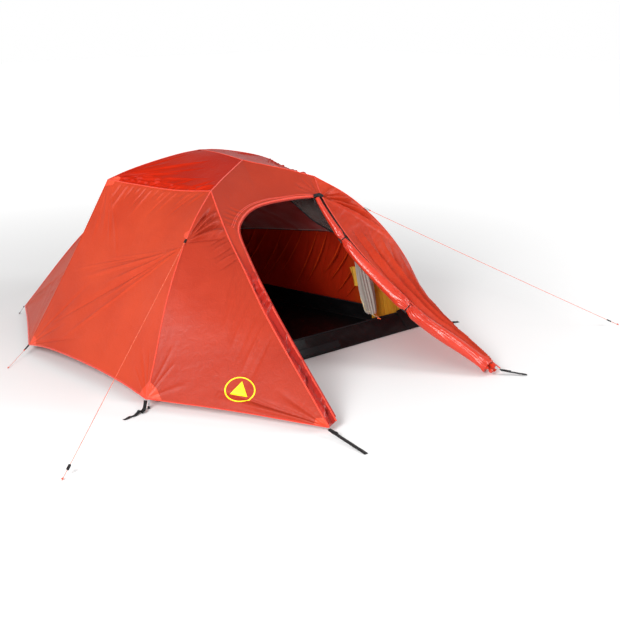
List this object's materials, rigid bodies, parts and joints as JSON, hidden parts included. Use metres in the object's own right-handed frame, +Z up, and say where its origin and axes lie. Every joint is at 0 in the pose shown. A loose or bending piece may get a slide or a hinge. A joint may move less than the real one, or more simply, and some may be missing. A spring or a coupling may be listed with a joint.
{
  "type": "three person backpacking tent",
  "caption": "Pitched dome tent on bent poles, with a flysheet, an inner tent, a front porch whose door is rolled back, straps and guylines.",
  "frame": {"origin": "on the ground at the middle of the tent, its corner straps included and its cords left out", "axes": "+Z up; the door faces -Y; +X is to the right of somebody who looks in through the door"},
  "size_m": [4.144, 3.6406, 1.2096],
  "materials": {
    "shell": "matt coated ripstop, orange-red",
    "rolled": "matt coated ripstop, loosely rolled",
    "inner": "light woven nylon, yellow",
    "mesh": "fine grey insect netting",
    "tub": "black coated floor cloth",
    "webbing": "black flat webbing",
    "cord": "orange braided cord",
    "dark_cord": "black braided cord",
    "black_plastic": "moulded black acetal",
    "orange_plastic": "moulded orange plastic",
    "pole": "anodised tube"
  },
  "bodies": {
    "tent": {"fly_roof_left": "shell", "fly_roof_right": "shell", "fly_wall_left": "shell", "fly_wall_right": "shell", "fly_rear_left": "shell", "fly_rear_right": "shell", "fly_porch_left": "shell", "fly_porch_right": "shell", "fly_rear_end": "shell", "fly_awning": "shell", "fly_door_band": "shell", "rolled_door": "rolled", "door_zip_slider": "black_plastic", "pole_leg_left": "pole", "pole_leg_right": "pole", "pole_tip_left": "black_plastic", "pole_tip_right": "black_plastic", "pole_spine": "pole", "pole_tip_rear": "black_plastic", "pole_brow": "pole", "front_hub": "black_plastic", "brow_swivel": "black_plastic", "tub_floor": "tub", "tub_front": "tub", "tub_rear": "tub", "tub_side_left": "tub", "tub_side_right": "tub", "inner_wall_left": "inner", "inner_wall_right": "inner", "inner_mesh_left": "mesh", "inner_mesh_right": "mesh", "inner_front_lower_left": "inner", "inner_front_lower_right": "inner", "inner_front_mesh_left": "mesh", "inner_front_mesh_right": "mesh", "inner_rear": "inner", "gathered_inner_door": "mesh", "front_strap_left": "webbing", "side_strap_left": "webbing", "side_cord_left": "cord", "rear_cord_left": "dark_cord", "front_strap_right": "webbing", "side_strap_right": "webbing", "side_cord_right": "cord", "rear_cord_right": "dark_cord", "porch_buckle_left": "black_plastic", "porch_buckle_right": "black_plastic", "rear_strap": "webbing", "guy_tab_left": "webbing", "guyline_left": "cord", "guy_tab_right": "webbing", "guyline_right": "cord"},
    "tensioner_left": {"tensioner_left": "black_plastic"},
    "tensioner_right": {"tensioner_right": "black_plastic"},
    "porch_strap_left": {"porch_strap_left": "webbing"},
    "porch_strap_right": {"porch_strap_right": "webbing"},
    "door_toggle_upper": {"door_toggle_upper": "black_plastic"},
    "door_toggle_lower": {"door_toggle_lower": "black_plastic"},
    "door_zip_pull": {"door_zip_pull": "black_plastic"},
    "inner_door_toggle": {"inner_door_toggle": "orange_plastic"}
  },
  "joints": [
    {"name": "tensioner_left_slide", "type": "slide", "parent": "tent", "child": "tensioner_left", "axis": [0.7571, 0.4327, 0.4895], "range_m": [-0.03, 0.4]},
    {"name": "tensioner_right_slide", "type": "slide", "parent": "tent", "child": "tensioner_right", "axis": [-0.7136, 0.5531, 0.4299], "range_m": [-0.03, 0.4]},
    {"name": "porch_strap_left_pull", "type": "slide", "parent": "tent", "child": "porch_strap_left", "axis": [0.1542, 0.986, 0.0642], "range_m": [0, 0.03]},
    {"name": "porch_strap_right_pull", "type": "slide", "parent": "tent", "child": "porch_strap_right", "axis": [-0.5957, 0.7943, 0.1191], "range_m": [0, 0.02]},
    {"name": "door_toggle_upper_turn", "type": "hinge", "parent": "tent", "child": "door_toggle_upper", "pos_m": [0.362, -0.4745, 0.6995], "axis": [-0.8944, -0.2683, -0.3578], "range_deg": [-60, 60]},
    {"name": "door_toggle_lower_turn", "type": "hinge", "parent": "tent", "child": "door_toggle_lower", "pos_m": [0.4705, -0.9295, 0.3155], "axis": [-0.8944, -0.2683, -0.3578], "range_deg": [-60, 60]},
    {"name": "inner_door_toggle_turn", "type": "hinge", "parent": "tent", "child": "inner_door_toggle", "pos_m": [0.6555, -0.5445, 0.1505], "axis": [0, 0, 1], "range_deg": [-60, 60]},
    {"name": "door_zip_pull_swing", "type": "hinge", "parent": "tent", "child": "door_zip_pull", "pos_m": [0.3305, -0.276, 0.933], "axis": [1, 0, 0], "range_deg": [-70, 0]}
  ]
}
